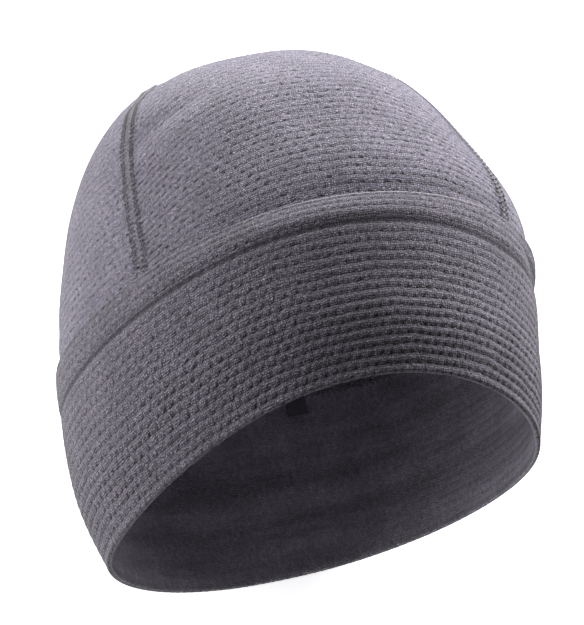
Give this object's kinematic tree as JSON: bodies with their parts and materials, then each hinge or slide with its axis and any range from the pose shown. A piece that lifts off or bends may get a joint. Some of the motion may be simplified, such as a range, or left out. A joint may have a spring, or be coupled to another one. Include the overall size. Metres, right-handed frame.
{
  "type": "knit skull cap",
  "caption": "Close-fitting mesh-knit skull cap: three-panel crown with two flatlock seams and a deep double-layer folded band, lying on its back, open towards the wearer's head.",
  "frame": {"origin": "on the surface the cap lies on, under the middle of its box", "axes": "+X is the wearer's left, +Y runs from the rim to the crown, +Z is the forehead side, up from the surface that the back of the cap rests on"},
  "size_m": [0.166, 0.1558, 0.183],
  "materials": {
    "crown_knit": "matte merino mesh knit, purplish grey",
    "band_knit": "matte ribbed merino mesh knit, purplish grey",
    "label_tape": "matte black woven tape",
    "seam_thread": "dark grey polyester stitching"
  },
  "bodies": {
    "root": {"band": "band_knit", "crown_center": "crown_knit", "crown_side_left": "crown_knit", "crown_side_right": "crown_knit", "label": "label_tape"}
  },
  "joints": []
}
